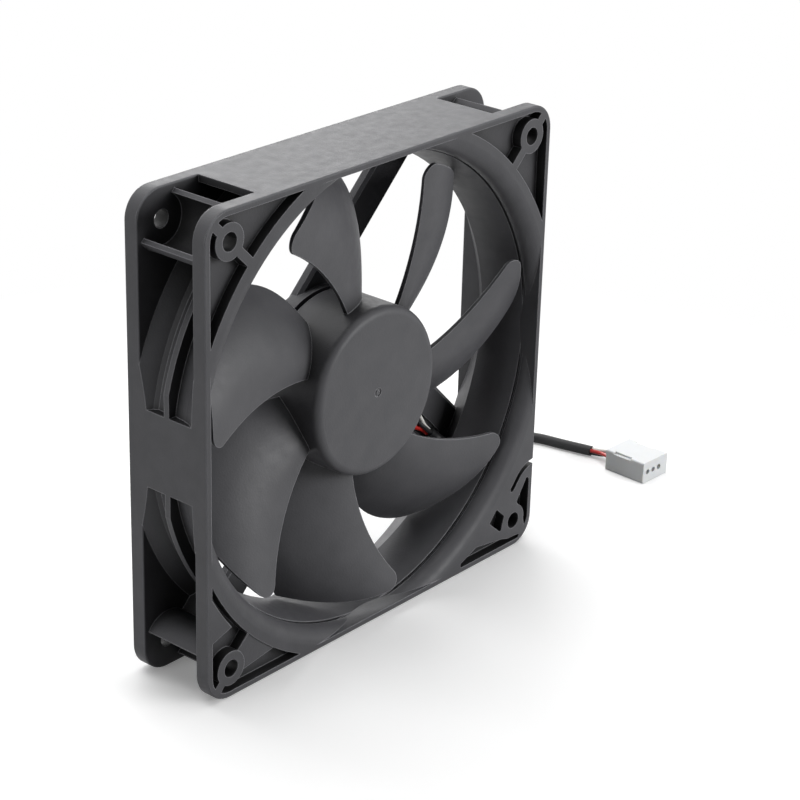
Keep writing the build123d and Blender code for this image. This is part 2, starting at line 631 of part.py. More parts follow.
# The three wires along the strut, into the sleeve that takes them through the barrel wall
wire_names = ("red", "black", "white")
bundle = [(-WIRE_R - 0.02, 0.35), (0.0, -0.62), (WIRE_R + 0.02, 0.35)]
sleeve_floor = channel_floor - SLEEVE_R - 0.1
for number, (name, (aside, deeper)) in enumerate(zip(wire_names, bundle)):
    spread = (number - 1) * WIRE_SPACING
    entry = SLEEVE_INNER_END + deeper * SLEEVE_RISE / SLEEVE_RUN
    route = [
        on_strut(15.5, LEAD_OFFSET + spread, wire_depth),
        on_strut(27.0, LEAD_OFFSET + spread + 0.03, wire_depth - 0.03),
        on_strut(SLEEVE_INNER_END - 13.1, LEAD_OFFSET + spread, wire_depth - 0.05),
        on_strut(SLEEVE_INNER_END - 5.8, LEAD_OFFSET + 0.97 * spread, wire_depth - 0.15 + deeper / 4),
        on_strut(SLEEVE_INNER_END - SLEEVE_RUN, LEAD_OFFSET + aside, sleeve_floor + deeper + SLEEVE_RISE),
        on_strut(entry, LEAD_OFFSET + aside, sleeve_floor + deeper)]
    export_step(stand(bent(route, WIRE_R)), f"parts/{name}_wire.step")

sleeve_in_frame = [
    on_strut(SLEEVE_INNER_END, LEAD_OFFSET, sleeve_floor),
    on_strut(SLEEVE_INNER_END + SLEEVE_RUN, LEAD_OFFSET, sleeve_floor - SLEEVE_RISE),
    on_strut(SLEEVE_INNER_END + 2 * SLEEVE_RUN, LEAD_OFFSET, sleeve_depth + 0.75),
    on_strut(SLEEVE_EXIT - 2.3, LEAD_OFFSET, sleeve_depth),
    on_strut(SLEEVE_EXIT, LEAD_OFFSET, sleeve_depth)]
export_step(stand(bent(sleeve_in_frame, SLEEVE_R)), "parts/sleeve_in_frame.step")

# The free lead, from the barrel wall round behind the fan and along the floor to its plug
sleeve_route = [
    tuple(stand(Vertex(*sleeve_in_frame[-1])).center()),
    (51.5, 6.8, 20.52), (54.8, 6.8, 18.2), (58.6, 6.8, 16.5), (63.0, 7.3, 15.2), (68.0, 9.6, 13.2),
    (73.4, 13.8, 10.2), (79.1, 19.2, 6.9), (85.6, 24.9, 3.7), (92.4, 28.7, 2.0), (99.4, 29.6, 1.55),
    (105.1, 27.1, 1.5), (108.4, 22.4, 1.5), (109.6, 15.0, 1.5), (111.7, 5.6, 1.6)]
export_step(bent(sleeve_route, SLEEVE_R), "parts/lead_sleeve.step")

# The plug at the end of the lead and its three terminals, then the bare ends of the wires into it


def in_plug(shape):
    """Move a shape drawn about the plug's middle, rear end towards +Y, to where the plug lies."""
    return Pos(PLUG_AT[0], PLUG_AT[1], PLUG_H / 2) * Rot(0, 0, PLUG_TURN) * shape


hole_sides = [(number - (PLUG_WAYS - 1) / 2) * PITCH + HOLE_SHIFT for number in range(PLUG_WAYS)]
housing = Box(PLUG_W, PLUG_LENGTH, PLUG_H)
housing = fillet(housing.edges().filter_by(Axis.Y), PLUG_ROUND)
key = Box(KEY_W, KEY_LENGTH, KEY_DEEP)
housing -= Pos((KEY_W - PLUG_W) / 2, 1.0, (PLUG_H - KEY_DEEP) / 2) * key
housing -= Pos((PLUG_W - KEY_W) / 2, 1.0, (PLUG_H - KEY_DEEP) / 2) * key
terminals = []
for side in hole_sides:
    rear_end = Pos(side, PLUG_LENGTH / 2)
    backwards = (Align.CENTER, Align.MAX, Align.CENTER)
    housing -= rear_end * Box(CAVITY, PLUG_LENGTH - PIN_HOLE_DEEP, CAVITY, align=backwards)
    housing -= Pos(side, 0) * Rot(90, 0, 0) * Cylinder(PIN_HOLE_R, PLUG_LENGTH + 2)
    tube = Box(TERMINAL, TERMINAL_LENGTH, TERMINAL, align=backwards)
    bore = TERMINAL - 2 * TERMINAL_WALL
    tube -= Pos(0, -1.2) * Box(bore, TERMINAL_LENGTH, bore, align=backwards)
    terminals.append(in_plug(rear_end * Pos(0, -TERMINAL_IN) * tube))
export_step(in_plug(housing), "parts/plug_housing.step")
export_step(Compound(children=terminals), "parts/crimp_terminals.step")

last_point = Vector(*sleeve_route[-1])
heading = (last_point - Vector(*sleeve_route[-2])).normalized()
sideways = Vector(-heading.Y, heading.X, 0).normalized()
upwards = heading.cross(sideways)
for side, name, (aside, deeper) in zip(hole_sides, wire_names, bundle):
    start_point = last_point + sideways * aside + upwards * deeper
    rear = PLUG_LENGTH / 2
    tail_route = [
        tuple(start_point),
        tuple(start_point + heading * 3.5),
        tuple(in_plug(Vertex(side, rear + 1.2, 0)).center()),
        tuple(in_plug(Vertex(side, rear - TERMINAL_IN, 0)).center())]
    export_step(bent(tail_route, WIRE_R), f"parts/{name}_tail.step")
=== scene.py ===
# %% [markdown]
# # A 120 mm cooling fan
# The fan stands on its bottom edge with its air intake facing -Y. The moulded frame, the impeller
# and the motor come in as solids with exact sizes. This lesson gives them their finishes, and adds
# what solids can't hold well: a soft lead that lies on the floor, and windings of real wire.

# %% Load the solids
import math

import bpy
from mathutils import Matrix, Vector
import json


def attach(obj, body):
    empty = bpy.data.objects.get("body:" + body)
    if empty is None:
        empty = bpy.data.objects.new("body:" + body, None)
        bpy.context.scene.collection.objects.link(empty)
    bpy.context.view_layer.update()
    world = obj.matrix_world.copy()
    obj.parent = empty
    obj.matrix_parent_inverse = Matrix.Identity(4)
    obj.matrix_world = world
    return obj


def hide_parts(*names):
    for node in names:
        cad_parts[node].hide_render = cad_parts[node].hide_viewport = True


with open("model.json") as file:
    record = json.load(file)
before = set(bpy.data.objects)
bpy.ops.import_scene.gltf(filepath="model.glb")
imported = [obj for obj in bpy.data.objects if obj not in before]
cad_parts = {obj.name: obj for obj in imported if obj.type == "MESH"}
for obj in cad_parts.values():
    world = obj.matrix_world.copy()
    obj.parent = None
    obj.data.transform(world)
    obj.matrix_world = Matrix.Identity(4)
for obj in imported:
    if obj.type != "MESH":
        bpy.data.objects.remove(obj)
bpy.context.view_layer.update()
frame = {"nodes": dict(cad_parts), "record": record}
nodes = frame["nodes"]
MM = 0.001

# %% [markdown]
# ## Where the eye stands
# The camera comes first, because the lead has to lie inside its view. A photograph's viewpoint can be
# worked back from the corners of a square frame of known size. Here it gives a long lens, far away,
# turned a little about its own axis.

# %% Camera
VIEW_AZIMUTH = math.radians(49.795)
VIEW_ELEVATION = math.radians(23.937)
VIEW_ROLL = math.radians(1.611)
VIEW_DISTANCE = 575.88 * MM
VIEW_TARGET = Vector((5.306, -12.5, 57.06)) * MM
LENS_MM = 107.98
SENSOR_MM = 36.0
NEAREST_SEEN = 10 * MM


def aim_camera():
    """A camera on the line from the target back to the photograph's viewpoint."""
    back = Vector((-math.sin(VIEW_AZIMUTH) * math.cos(VIEW_ELEVATION),
                   -math.cos(VIEW_AZIMUTH) * math.cos(VIEW_ELEVATION), math.sin(VIEW_ELEVATION)))
    right = Vector((0, 0, 1)).cross(back).normalized()
    up = back.cross(right)
    level_right = right * math.cos(VIEW_ROLL) + up * math.sin(VIEW_ROLL)
    level_up = up * math.cos(VIEW_ROLL) - right * math.sin(VIEW_ROLL)
    turn = Matrix((level_right, level_up, back)).transposed().to_4x4()
    data = bpy.data.cameras.new("photo_camera")
    data.lens = LENS_MM
    data.sensor_width = SENSOR_MM
    data.clip_start = NEAREST_SEEN
    camera = bpy.data.objects.new("photo_camera", data)
    camera.matrix_world = Matrix.Translation(VIEW_TARGET + back * VIEW_DISTANCE) @ turn
    bpy.context.scene.collection.objects.link(camera)
    bpy.context.scene.camera = camera
    return camera


camera = aim_camera()
print("camera at", [round(value, 3) for value in camera.matrix_world.translation])

# %% [markdown]
# ## Colours and nodes
# Colours are written as sRGB hex, the way a paint card gives them, and one function turns them into
# the linear values that a renderer needs. One more function adds a node: its settings, its values
# and its links stand on one line, so a material reads from top to bottom like a recipe.


# %% Colour and node helpers
def hex_colour(code):
    """Linear red, green, blue and alpha from an sRGB hex code."""
    parts = [int(code[start:start + 2], 16) / 255 for start in (1, 3, 5)]
    linear = [part / 12.92 if part <= 0.04045 else ((part + 0.055) / 1.055) ** 2.4 for part in parts]
    return (*linear, 1.0)


def add(tree, kind, inputs=None, **settings):
    """One node: settings by name, and each input either a value or the output that feeds it."""
    node = tree.nodes.new(kind)
    for name, value in settings.items():
        setattr(node, name, value)
    for socket, value in (inputs or {}).items():
        if isinstance(value, bpy.types.NodeSocket):
            tree.links.new(value, node.inputs[socket])
        else:
            node.inputs[socket].default_value = value
    return node


def new_finish(name, colour, **values):
    """A material, its node tree and its shader, with the values that are the same all over it."""
    material = bpy.data.materials.new(name)
    material.use_nodes = True
    material.diffuse_color = hex_colour(colour)
    shader = material.node_tree.nodes["Principled BSDF"]
    shader.inputs["Base Color"].default_value = hex_colour(colour)
    for socket, value in values.items():
        shader.inputs[socket.replace("_", " ")].default_value = value
    return material, material.node_tree, shader


print("white is", hex_colour("#FFFFFF")[:3])

# %% [markdown]
# ## Clouds, gloss and relief
# Three effects run through the finishes here. A cloud has blotches of a size in millimetres, because
# its coordinate is scaled from the object's own metres. Gloss drifts a little with a cloud, as no real
# surface shines evenly. Relief raises the surface by a cloud and rounds its sharp edges, because
# neither a mould nor a lathe leaves an edge truly sharp.


# %% Effects that finishes share
def cloud(tree, size_mm, detail, stretch=(1, 1, 1)):
    """A 0 to 1 pattern whose blotches are about this many millimetres across."""
    place = add(tree, "ShaderNodeTexCoord").outputs["Object"]
    scale = [part / (size_mm * MM) for part in stretch]
    scaled = add(tree, "ShaderNodeMapping", {"Vector": place, "Scale": scale}).outputs["Vector"]
    return add(tree, "ShaderNodeTexNoise", {"Vector": scaled, "Scale": 1.0, "Detail": detail}).outputs["Fac"]


def uneven_gloss(tree, shader, blotches, smooth, dull):
    """Let the roughness drift between two values with a cloud."""
    drift = add(tree, "ShaderNodeMapRange", {"Value": blotches, "From Min": 0.2, "From Max": 0.8,
                                             "To Min": smooth, "To Max": dull})
    tree.links.new(drift.outputs["Result"], shader.inputs["Roughness"])


def relief(tree, shader, height, depth_mm, edge_mm=0.0):
    """Raise the surface by a 0 to 1 height, on edges rounded by the given radius."""
    inputs = {"Strength": 1.0, "Distance": depth_mm * MM, "Height": height}
    if edge_mm:
        inputs["Normal"] = add(tree, "ShaderNodeBevel", {"Radius": edge_mm * MM}, samples=6).outputs["Normal"]
    bump = add(tree, "ShaderNodeBump", inputs)
    tree.links.new(bump.outputs["Normal"], shader.inputs["Normal"])


print("a cloud of 1 mm has", round(1 / MM), "blotches to the metre")

# %% [markdown]
# ## Wear, painted edge highlight and painted shade in hollows
# Handling rubs the edges of black plastic a little paler, and the paler edge also serves as a painted highlight
# where light catches it. An edge is found where a rounded copy of the surface's direction differs from the
# plain one. Hollows get painted shade, deeper than wide lamps alone make them: the colour darkens where a point
# sees little open space.

# %% Edges with wear and painted highlight, and painted shade in hollows
# Radius of the paler edges (wear and painted highlight) and reach of the painted shade in hollows.
WORN_AND_HIGHLIT_EDGE = 0.35
PAINTED_SHADE_REACH = 14.0


def worn_and_highlit_edges(tree, radius_mm):
    """1 on an outside or inside edge and 0 on flat faces, from a rounded copy of the normal: the mask for edge
    wear and painted highlight.
    """
    rounded = add(tree, "ShaderNodeBevel", {"Radius": radius_mm * MM}, samples=4).outputs["Normal"]
    plain = add(tree, "ShaderNodeNewGeometry").outputs["Normal"]
    match = add(tree, "ShaderNodeVectorMath", {0: rounded, 1: plain}, operation="DOT_PRODUCT").outputs["Value"]
    return add(tree, "ShaderNodeMapRange", {"Value": match, "From Min": 1.0, "From Max": 0.92,
                                            "To Min": 0.0, "To Max": 1.0}).outputs["Result"]


def painted_hollow_shade(tree, reach_mm):
    """1 deep in the piece's own hollows and 0 on open faces, felt out to the given reach: the mask for painted
    shade.
    """
    open_space = add(tree, "ShaderNodeAmbientOcclusion", {"Distance": reach_mm * MM},
                     samples=8, only_local=True).outputs["AO"]
    return add(tree, "ShaderNodeMapRange", {"Value": open_space, "From Min": 0.9, "From Max": 0.4,
                                            "To Min": 0.0, "To Max": 1.0}).outputs["Result"]


# Prints the radius of the paler edges, which carry wear and a painted highlight, and the reach of the painted
# shade in hollows.
print("edges rubbed over", WORN_AND_HIGHLIT_EDGE, "mm and hollows felt out to", PAINTED_SHADE_REACH, "mm")

# %% [markdown]
# ## Charcoal moulded plastic
# The frame and the impeller are moulded in glass-filled polyester. Up close it isn't one colour: the filler
# leaves a faint cloudy mottle a few millimetres across, and the spark-eroded mould leaves an even grain of
# about half a millimetre. A procedural material holds both, at their real sizes, so it looks right at any
# distance. It also holds the paler edges, which are partly wear and partly a painted highlight, and the painted
# shade in the hollows. The eye sees a dry, dark grey that glows softly towards a lamp.

# %% Frame and impeller plastic
MOTTLE_SIZE = 9.0
GLOSS_PATCH_SIZE = 2.5
GRAIN_SIZE = 0.5
GRAIN_DEPTH = 0.035
MOULDED_EDGE = 0.25


def moulded_plastic(name, dark, pale, edge_wear_and_highlight_colour, painted_shade_colour, roughness):
    material, tree, shader = new_finish(name, dark, Roughness=roughness, Specular_IOR_Level=0.3)
    mottle = add(tree, "ShaderNodeMapRange", {"Value": cloud(tree, MOTTLE_SIZE, 3.0), "From Min": 0.3,
                                              "From Max": 0.7, "To Min": 0.0, "To Max": 1.0}).outputs["Result"]
    # In a colour Mix node, 0 is the factor, 6 and 7 are the two colours, and output 2 is the result.
    body = add(tree, "ShaderNodeMix", {0: mottle, 6: hex_colour(dark), 7: hex_colour(pale)}, data_type="RGBA")
    # Painted shade: the colour darkens to a near black in the piece's own hollows.
    shaded = add(tree, "ShaderNodeMix", {0: painted_hollow_shade(tree, PAINTED_SHADE_REACH), 6: body.outputs[2],
                                         7: hex_colour(painted_shade_colour)}, data_type="RGBA")
    # Wear and painted highlight: edges turn a paler grey.
    worn_and_highlit = add(tree, "ShaderNodeMix", {0: worn_and_highlit_edges(tree, WORN_AND_HIGHLIT_EDGE), 6: shaded.outputs[2],
                                         7: hex_colour(edge_wear_and_highlight_colour)}, data_type="RGBA")
    tree.links.new(worn_and_highlit.outputs[2], shader.inputs["Base Color"])
    uneven_gloss(tree, shader, cloud(tree, GLOSS_PATCH_SIZE, 3.0), roughness - 0.05, roughness + 0.07)
    relief(tree, shader, cloud(tree, GRAIN_SIZE, 2.0), GRAIN_DEPTH, MOULDED_EDGE)
    return material


# The edge colour is a paler grey for wear and painted highlight; the deep colour is painted shade for the
# hollows.
frame_plastic = moulded_plastic("charcoal_frame_plastic", dark="#424245", pale="#4A4A4D", edge_wear_and_highlight_colour="#86868A",
                                painted_shade_colour="#161617", roughness=0.5)
impeller_plastic = moulded_plastic("charcoal_impeller_plastic", dark="#48484B", pale="#505053", edge_wear_and_highlight_colour="#909094",
                                   painted_shade_colour="#1A1A1B", roughness=0.48)
print("moulded", frame_plastic.name, impeller_plastic.name)

# %% [markdown]
# ## Metals of the motor
# The rotor yoke is drawn steel, the bearing races are ground steel and the bearing tube is turned
# brass. Drawing and turning both leave fine lines round the axis, which lies along Y. So the cloud
# for them is fine along Y and drawn out across it.

# %% Metal finishes
DRAWN_OUT = (0.15, 1.0, 0.15)


def turned_metal(name, colour, shade, roughness, lines_mm):
    material, tree, shader = new_finish(name, colour, Roughness=roughness, Metallic=1.0)
    lines = cloud(tree, lines_mm, 3.0, stretch=DRAWN_OUT)
    tone = add(tree, "ShaderNodeMix", {0: lines, 6: hex_colour(shade), 7: hex_colour(colour)}, data_type="RGBA")
    tree.links.new(tone.outputs[2], shader.inputs["Base Color"])
    uneven_gloss(tree, shader, lines, roughness - 0.06, roughness + 0.1)
    relief(tree, shader, lines, depth_mm=0.004, edge_mm=0.1)
    return material


metals = {
    # Warm yellow with fine bright rings from the lathe.
    "brass": turned_metal("turned_brass", "#C9A45A", "#A98440", 0.28, 0.25),
    # A cool, slightly cloudy grey shine.
    "plated_steel": turned_metal("zinc_plated_steel", "#B4B6B9", "#94969A", 0.36, 0.4),
    # The brightest metal here, close to a mirror.
    "bearing_steel": turned_metal("ground_bearing_steel", "#C6C7C9", "#AEB0B3", 0.18, 0.12),
    # Dull and dark, like the cut edges of thin sheets.
    "core_steel": turned_metal("stamped_core_steel", "#8A8B8D", "#5D5E61", 0.45, 0.5),
    # A soft, faintly warm silver.
    "tinned_metal": turned_metal("tinned_contact_metal", "#C9C7C0", "#AEACA4", 0.3, 0.2),
}
print("metals", sorted(metals))

# %% [markdown]
# ## Small mouldings and wire skins
# The insulators and washers are natural nylon, a soft cream. The plug is a whiter nylon, which lets a
# little light into itself, so it gets a short subsurface radius. Wire insulation and the sleeve are
# soft PVC with a smooth skin. Each has two close shades in a cloud and a fine grain.


# %% Small mouldings
def small_moulding(name, colour, shade, roughness, inside_mm=0.0, grain_mm=0.5):
    material, tree, shader = new_finish(name, colour, Roughness=roughness, Specular_IOR_Level=0.3)
    tone = add(tree, "ShaderNodeMix", {0: cloud(tree, grain_mm * 6, 3.0), 6: hex_colour(shade),
                                       7: hex_colour(colour)}, data_type="RGBA")
    tree.links.new(tone.outputs[2], shader.inputs["Base Color"])
    uneven_gloss(tree, shader, cloud(tree, grain_mm * 3, 2.0), roughness - 0.05, roughness + 0.06)
    relief(tree, shader, cloud(tree, grain_mm, 2.0), depth_mm=0.01, edge_mm=0.12)
    if inside_mm:
        shader.inputs["Subsurface Weight"].default_value = 0.25
        shader.inputs["Subsurface Scale"].default_value = inside_mm * MM
        shader.inputs["Subsurface Radius"].default_value = (1.0, 0.85, 0.65)
    return material


plastics = {
    # Satin black, a shade under the frame.
    "cap_plastic": small_moulding("black_cap_plastic", "#3A3A3C", "#323234", 0.5),
    # A matt brown-black, like pressed powder.
    "ferrite": small_moulding("bonded_ferrite", "#4A4643", "#3C3936", 0.6),
    # Undyed nylon: soft creams that never go quite white.
    "washer_nylon": small_moulding("natural_nylon_washer", "#DAD8CC", "#CFCDC0", 0.45),
    "insulator_nylon": small_moulding("natural_nylon_insulator", "#E4E0D0", "#D8D4C3", 0.45),
    "cage_nylon": small_moulding("bearing_cage_nylon", "#CFC9B4", "#C2BCA6", 0.45, grain_mm=0.2),
    # Near black with a fine, even tooth.
    "chip_epoxy": small_moulding("moulded_epoxy", "#2A2A2C", "#232325", 0.5, grain_mm=0.2),
    # The tan of an unglazed chip capacitor.
    "ceramic_body": small_moulding("fired_ceramic", "#B79A74", "#A98C66", 0.5, grain_mm=0.15),
    # A cool white that seems lit from within at its thin walls.
    "plug_nylon": small_moulding("natural_nylon_plug", "#EAECED", "#E4E6E7", 0.42, inside_mm=0.8),
    # Limp tubing, darker and duller than the wires.
    "sleeve_black": small_moulding("black_pvc_sleeve", "#1C1C1E", "#161618", 0.5, grain_mm=0.8),
    # Wire skins, each with a narrow soft highlight along it.
    "wire_red": small_moulding("red_pvc_wire", "#C22A22", "#AE221C", 0.35),
    "wire_black": small_moulding("black_pvc_wire", "#2C2C2E", "#242426", 0.35),
    "wire_white": small_moulding("white_pvc_wire", "#ECEBE6", "#E2E0D9", 0.38),
}
print("plastics", len(plastics))

# %% [markdown]
# ## Circuit board
# The board is woven glass cloth under green solder mask. The weave shows through as a faint square
# pattern, so a checker of two close greens, turned to lie askew, draws it. The real weave is finer
# than a render shows, and it is drawn a little coarser.

# %% Board laminate
WEAVE_MM = 0.6


def board_laminate():
    material, tree, shader = new_finish("green_board_laminate", "#2F5B35", Roughness=0.35)
    place = add(tree, "ShaderNodeTexCoord").outputs["Object"]
    askew = add(tree, "ShaderNodeMapping", {"Vector": place, "Rotation": (0.0, math.radians(45), 0.0)})
    weave = add(tree, "ShaderNodeTexChecker", {
        "Vector": askew.outputs["Vector"], "Scale": 1 / (WEAVE_MM * MM), "Color1": hex_colour("#2B5531"),
        "Color2": hex_colour("#33613A")})
    tree.links.new(weave.outputs["Color"], shader.inputs["Base Color"])
    relief(tree, shader, weave.outputs["Fac"], depth_mm=0.005)
    return material


plastics["board_laminate"] = board_laminate()
print("board", plastics["board_laminate"].name)

# %% [markdown]
# ## Enamelled copper
# Magnet wire is bright copper under a thin coat of clear brown enamel, so it is a metal with a
# clear coat, darker where the enamel is thicker.


# %% Copper wire
def enamelled_copper():
    material, tree, shader = new_finish("enamelled_copper", "#B5622F", Roughness=0.3, Metallic=1.0,
                                        Coat_Weight=0.6, Coat_Roughness=0.12)
    tone = add(tree, "ShaderNodeMix", {0: cloud(tree, 0.8, 3.0), 6: hex_colour("#9A4E22"),
                                       7: hex_colour("#C07038")}, data_type="RGBA")
    tree.links.new(tone.outputs[2], shader.inputs["Base Color"])
    relief(tree, shader, cloud(tree, 0.3, 2.0), depth_mm=0.004)
    return material


copper = enamelled_copper()
print("copper", copper.name)

# %% [markdown]
# ## Paint the solids
# Each solid names a material slot in its record. One table from slot to finish dresses them all, so
# a new solid with a known slot is painted with no further work.

# %% Assign the finishes
finishes = {"frame_plastic": frame_plastic, "impeller_plastic": impeller_plastic, "copper": copper,
            **metals, **plastics}
slot_of = {row["node"]: row["material_slot"] for row in frame["record"]["subparts"]}
for name, solid in nodes.items():
    solid.data.materials.clear()
    solid.data.materials.append(finishes[slot_of[name]])
print("painted", len(nodes), "solids")

# %% [markdown]
# ## The lead
# Three thin wires leave the motor along one strut. Past the frame a soft black sleeve holds them
# together. It drops out between the flanges, runs back and down to the floor behind the fan, turns
# round in a loose curve and comes forward beside the frame to its plug. A spline with a few control
# points at the places where the lead bends is how such a cord is drawn: it can't kink, and it stays
# easy to edit. The last 11 mm before the plug is bare, and the wires spread to their three holes.

# %% Sleeve
SLEEVE_DIAMETER = 2.9
SLEEVE_ROUTE = [
    (48.86, 6.8, 23.16), (51.5, 6.8, 20.52), (54.8, 6.8, 18.2), (58.6, 6.8, 16.5), (63.0, 7.3, 15.2),
    (68.0, 9.6, 13.2), (73.4, 13.8, 10.2), (79.1, 19.2, 6.9), (85.6, 24.9, 3.7), (92.4, 28.7, 2.0),
    (99.4, 29.6, 1.55), (105.1, 27.1, 1.5), (108.4, 22.4, 1.5), (109.6, 15.0, 1.5), (111.7, 5.6, 1.6)]


def lay_cord(name, route_mm, diameter_mm, material):
    """A round cord on a smooth spline that is pulled by the route's points."""
    curve = bpy.data.curves.new(name, "CURVE")
    curve.dimensions = "3D"
    curve.bevel_depth = diameter_mm / 2 * MM
    curve.bevel_resolution = 5
    curve.resolution_u = 14
    curve.use_fill_caps = True
    spline = curve.splines.new("NURBS")
    spline.points.add(len(route_mm) - 1)
    for point, (x, y, z) in zip(spline.points, route_mm):
        point.co = (x * MM, y * MM, z * MM, 1.0)
    spline.order_u = 3
    spline.use_endpoint_u = True
    cord = bpy.data.objects.new(name, curve)
    bpy.context.scene.collection.objects.link(cord)
    curve.materials.append(material)
    return cord


sleeve = lay_cord("sleeve_cord", SLEEVE_ROUTE, SLEEVE_DIAMETER, plastics["sleeve_black"])
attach(sleeve, "housing")
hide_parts("lead_sleeve")
print("sleeve control points", len(SLEEVE_ROUTE))

# %% Bare wire ends
WIRE_DIAMETER = 1.1
TAIL_ROUTES = {
    "red_tail": [(111.14, 5.48, 1.95), (111.91, 2.06, 1.99), (109.43, -1.49, 3.1), (109.32, -4.69, 3.1)],
    "black_tail": [(111.7, 5.59, 0.98), (112.46, 2.18, 1.02), (111.97, -1.58, 3.1), (111.86, -4.77, 3.1)],
    "white_tail": [(112.26, 5.73, 1.95), (113.02, 2.31, 1.99), (114.51, -1.67, 3.1), (114.4, -4.86, 3.1)],
}
for name, route in TAIL_ROUTES.items():
    tail = lay_cord(name + "_cord", route, WIRE_DIAMETER, plastics["wire_" + name.split("_")[0]])
    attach(tail, "housing")
    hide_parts(name)

# %% [markdown]
# ## Windings of real wire
# Each pole of the motor carries a coil: one wire wound round and round in layers. A coil is a rule,
# so Geometry Nodes draw it. One rounded loop of wire is repeated along the pole, and the next layer
# sits on it, half a wire further along, as wire falls into the grooves of the layer below.

# %% One loop of wire
WIRE_MM = 0.42
WIRE_FILL = 0.49  # radius of the drawn wire, a touch under half so that turns stay apart


def wire_loop(tree, given, grow):
    """A rounded loop of wire that stands about the pole, grown by the layers under it."""
    across = add(tree, "ShaderNodeMath", {0: given["Height"], 1: grow}, operation="ADD").outputs[0]
    along = add(tree, "ShaderNodeMath", {0: given["Width"], 1: grow}, operation="ADD").outputs[0]
    corner = add(tree, "ShaderNodeMath", {0: grow, 1: 0.5}, operation="MULTIPLY").outputs[0]
    radius = add(tree, "ShaderNodeMath", {0: given["Wire"], 1: WIRE_FILL}, operation="MULTIPLY").outputs[0]
    loop = add(tree, "GeometryNodeCurvePrimitiveQuadrilateral", {"Width": across, "Height": along})
    rounded = add(tree, "GeometryNodeFilletCurve", {"Curve": loop.outputs["Curve"], "Radius": corner,
                                                    "Count": 3}, mode="POLY")
    profile = add(tree, "GeometryNodeCurvePrimitiveCircle", {"Resolution": 7, "Radius": radius})
    tube = add(tree, "GeometryNodeCurveToMesh", {"Curve": rounded.outputs["Curve"],
                                                 "Profile Curve": profile.outputs["Curve"]})
    quarter = math.radians(90)
    return add(tree, "GeometryNodeTransform", {"Geometry": tube.outputs["Mesh"],
                                               "Rotation": (quarter, 0.0, quarter)}).outputs["Geometry"]


print("drawn wire", round(2 * WIRE_FILL * WIRE_MM, 3), "mm across")

# %% One layer of loops
POLE_INSIDE = 8.4
POLE_OUTSIDE = 13.7
LAYER_GROWTH = 1.74  # wires that each layer adds across, under 2 because they nest in the grooves


def wire_row(tree, given, layer):
    """One layer: its loop of wire repeated along the pole, each layer one turn shorter."""
    wire = given["Wire"]
    length = add(tree, "ShaderNodeMath", {0: given["End"], 1: given["Start"]}, operation="SUBTRACT").outputs[0]
    fits = add(tree, "ShaderNodeMath", {0: length, 1: wire}, operation="DIVIDE").outputs[0]
    whole = add(tree, "ShaderNodeMath", {0: fits}, operation="FLOOR").outputs[0]
    turns = add(tree, "ShaderNodeMath", {0: whole, 1: layer}, operation="SUBTRACT").outputs[0]
    shift = add(tree, "ShaderNodeMath", {0: wire, 1: 0.5 * layer}, operation="MULTIPLY").outputs[0]
    start = add(tree, "ShaderNodeMath", {0: given["Start"], 1: shift}, operation="ADD").outputs[0]
    wires_across = 1.0 + LAYER_GROWTH * layer
    grow = add(tree, "ShaderNodeMath", {0: wire, 1: wires_across}, operation="MULTIPLY").outputs[0]
    line = add(tree, "GeometryNodeMeshLine", {
        "Count": turns,
        "Start Location": add(tree, "ShaderNodeCombineXYZ", {"X": start}).outputs["Vector"],
        "Offset": add(tree, "ShaderNodeCombineXYZ", {"X": wire}).outputs["Vector"]}, mode="OFFSET")
    loop = wire_loop(tree, given, grow)
    return add(tree, "GeometryNodeInstanceOnPoints",
               {"Points": line.outputs["Mesh"], "Instance": loop}).outputs["Instances"]


print("turns in the first layer", int((POLE_OUTSIDE - POLE_INSIDE) / WIRE_MM))

# %% Coil tree
POLE_WIDTH = 5.0
POLE_HEIGHT = 8.0
WIRE_LAYERS = 3


def coil_tree(material):
    """Layers of wire along X about the origin's pole, as a node group with named inputs."""
    tree = bpy.data.node_groups.new("wound_coil", "GeometryNodeTree")
    tree.interface.new_socket("Geometry", in_out="OUTPUT", socket_type="NodeSocketGeometry")
    sizes = {"Wire": WIRE_MM, "Start": POLE_INSIDE, "End": POLE_OUTSIDE,
             "Width": POLE_WIDTH, "Height": POLE_HEIGHT}
    for name, value in sizes.items():
        socket = tree.interface.new_socket(name, in_out="INPUT", socket_type="NodeSocketFloat")
        socket.default_value = value * MM
    given = add(tree, "NodeGroupInput").outputs
    join = add(tree, "GeometryNodeJoinGeometry")
    for layer in range(WIRE_LAYERS):
        tree.links.new(wire_row(tree, given, layer), join.inputs["Geometry"])
    solid = add(tree, "GeometryNodeRealizeInstances", {"Geometry": join.outputs["Geometry"]})
    paint = add(tree, "GeometryNodeSetMaterial", {"Geometry": solid.outputs["Geometry"], "Material": material})
    add(tree, "NodeGroupOutput", {"Geometry": paint.outputs["Geometry"]})
    return tree


windings = coil_tree(copper)
print("coil tree nodes", len(windings.nodes))

# %% Wind the four coils
AXIS_HEIGHT = 60.0
STATOR_MIDDLE = 0.9
POLES = 4


def wound(name, tree, turn):
    """One coil as a plain mesh, turned about the fan's axis to its pole."""
    seed = bpy.data.objects.new(name + "_seed", bpy.data.meshes.new(name + "_seed"))
    bpy.context.scene.collection.objects.link(seed)
    modifier = seed.modifiers.new("winding", "NODES")
    modifier.node_group = tree
    made = bpy.data.meshes.new_from_object(seed.evaluated_get(bpy.context.evaluated_depsgraph_get()))
    bpy.data.objects.remove(seed)
    place = Matrix.Translation((0, STATOR_MIDDLE * MM, AXIS_HEIGHT * MM))
    made.transform(place @ Matrix.Rotation(turn, 4, "Y"))
    for face in made.polygons:
        face.use_smooth = True
    coil = bpy.data.objects.new(name, made)
    bpy.context.scene.collection.objects.link(coil)
    return coil


